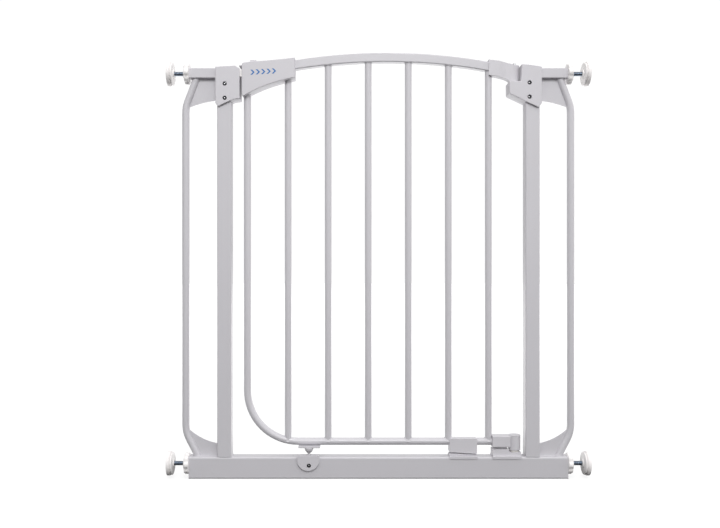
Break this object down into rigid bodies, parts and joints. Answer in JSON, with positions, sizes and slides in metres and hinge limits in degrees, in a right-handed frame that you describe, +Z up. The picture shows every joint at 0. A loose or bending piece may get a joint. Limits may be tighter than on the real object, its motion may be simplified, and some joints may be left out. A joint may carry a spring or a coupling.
{
  "type": "safety baby gate",
  "caption": "Pressure-mounted child safety gate with an arched barred door, top slide latch, lift-off bottom catch and screw-adjusted wall pads",
  "frame": {"origin": "centre of the bottom bar's underside, on the floor", "axes": "+X right seen from the front, +Y towards the back, +Z up; the door's front faces -Y"},
  "size_m": [0.744, 0.0426, 0.75],
  "materials": {
    "frame_paint": "fine satin powder coat",
    "door_paint": "fine satin powder coat",
    "housing_plastic": "fine moulded grain",
    "white_plastic": "smooth moulded",
    "pad_rubber": "matt, ribbed",
    "spindle_steel": "oiled rolled thread",
    "screw_steel": "plated",
    "pin_steel": "drawn, plated",
    "bush_nylon": "natural nylon",
    "latch_plastic": "smooth moulded",
    "spring_steel": "bright wire"
  },
  "bodies": {
    "frame": {"bottom_bar": "frame_paint", "catch_block": "housing_plastic", "catch_screw": "screw_steel", "cover_screws": "screw_steel", "hinge_front_cover": "housing_plastic", "hinge_rear_cover": "housing_plastic", "keeper_front_cover": "housing_plastic", "keeper_rear_cover": "housing_plastic", "left_lower_gusset": "frame_paint", "left_side_loop": "frame_paint", "left_top_stub": "frame_paint", "left_upper_gusset": "frame_paint", "left_upright": "frame_paint", "lower_hinge_base": "housing_plastic", "lower_hinge_pin": "pin_steel", "right_lower_gusset": "frame_paint", "right_side_loop": "frame_paint", "right_top_stub": "frame_paint", "right_upper_gusset": "frame_paint", "right_upright": "frame_paint", "stop_shoe": "housing_plastic", "tube_end_plugs": "housing_plastic", "upper_hinge_pin": "pin_steel"},
    "hinge_sleeves": {"lower_hinge_bush": "bush_nylon", "upper_hinge_bush": "bush_nylon"},
    "door": {"catch_pin": "latch_plastic", "door_bar_1": "door_paint", "door_bar_2": "door_paint", "door_bar_3": "door_paint", "door_bar_4": "door_paint", "door_bar_5": "door_paint", "door_bar_6": "door_paint", "end_tube": "door_paint", "handle_front_shell": "housing_plastic", "handle_rear_shell": "housing_plastic", "handle_screws": "screw_steel", "lower_hinge_block": "housing_plastic", "pin_bracket": "door_paint", "rest_tab": "housing_plastic", "top_rail": "door_paint", "upper_hinge_arm": "housing_plastic"},
    "latch": {"latch_bolt": "latch_plastic", "latch_spring": "spring_steel", "thumb_button": "latch_plastic"},
    "left_top_spindle": {"left_top_spindle": "spindle_steel", "left_top_pad_cup": "white_plastic", "left_top_wall_pad": "pad_rubber"},
    "left_top_nut": {"left_top_nut_wheel": "white_plastic"},
    "right_top_spindle": {"right_top_spindle": "spindle_steel", "right_top_pad_cup": "white_plastic", "right_top_wall_pad": "pad_rubber"},
    "right_top_nut": {"right_top_nut_wheel": "white_plastic"},
    "left_bottom_spindle": {"left_bottom_spindle": "spindle_steel", "left_bottom_pad_cup": "white_plastic", "left_bottom_wall_pad": "pad_rubber"},
    "left_bottom_nut": {"left_bottom_nut_wheel": "white_plastic"},
    "right_bottom_spindle": {"right_bottom_spindle": "spindle_steel", "right_bottom_pad_cup": "white_plastic", "right_bottom_wall_pad": "pad_rubber"},
    "right_bottom_nut": {"right_bottom_nut_wheel": "white_plastic"}
  },
  "joints": [
    {"name": "door_lift", "type": "slide", "parent": "frame", "child": "hinge_sleeves", "axis": [0, 0, 1], "range_m": [0, 0.01]},
    {"name": "door_swing", "type": "hinge", "parent": "hinge_sleeves", "child": "door", "pos_m": [0.241, 0, 0.0496], "axis": [0, 0, 1], "range_deg": [-90, 90], "stiffness_Nm_per_rad": 0.3},
    {"name": "latch_slide", "type": "slide", "parent": "door", "child": "latch", "axis": [1, 0, 0], "range_m": [0, 0.009], "stiffness_N_per_m": 250, "springref_m": -0.008, "deforming": ["latch_spring"]},
    {"name": "left_top_spindle_slide", "type": "slide", "parent": "frame", "child": "left_top_spindle", "axis": [-1, 0, 0], "range_m": [-0.013, 0.025]},
    {"name": "left_top_nut_turn", "type": "hinge", "parent": "frame", "child": "left_top_nut", "pos_m": [-0.3335, 0, 0.714], "axis": [-1, 0, 0], "range_deg": [-7203, 3747]},
    {"name": "right_top_spindle_slide", "type": "slide", "parent": "frame", "child": "right_top_spindle", "axis": [1, 0, 0], "range_m": [-0.013, 0.025]},
    {"name": "right_top_nut_turn", "type": "hinge", "parent": "frame", "child": "right_top_nut", "pos_m": [0.3335, 0, 0.714], "axis": [1, 0, 0], "range_deg": [-7203, 3747]},
    {"name": "left_bottom_spindle_slide", "type": "slide", "parent": "frame", "child": "left_bottom_spindle", "axis": [-1, 0, 0], "range_m": [-0.013, 0.025]},
    {"name": "left_bottom_nut_turn", "type": "hinge", "parent": "frame", "child": "left_bottom_nut", "pos_m": [-0.3335, 0, 0.025], "axis": [-1, 0, 0], "range_deg": [-7203, 3747]},
    {"name": "right_bottom_spindle_slide", "type": "slide", "parent": "frame", "child": "right_bottom_spindle", "axis": [1, 0, 0], "range_m": [-0.013, 0.025]},
    {"name": "right_bottom_nut_turn", "type": "hinge", "parent": "frame", "child": "right_bottom_nut", "pos_m": [0.3335, 0, 0.025], "axis": [1, 0, 0], "range_deg": [-7203, 3747]}
  ],
  "couplings": [
    {"joint": "left_top_nut_turn", "follows": "left_top_spindle_slide", "rad_per_m": -5026.5},
    {"joint": "right_top_nut_turn", "follows": "right_top_spindle_slide", "rad_per_m": -5026.5},
    {"joint": "left_bottom_nut_turn", "follows": "left_bottom_spindle_slide", "rad_per_m": -5026.5},
    {"joint": "right_bottom_nut_turn", "follows": "right_bottom_spindle_slide", "rad_per_m": -5026.5}
  ]
}
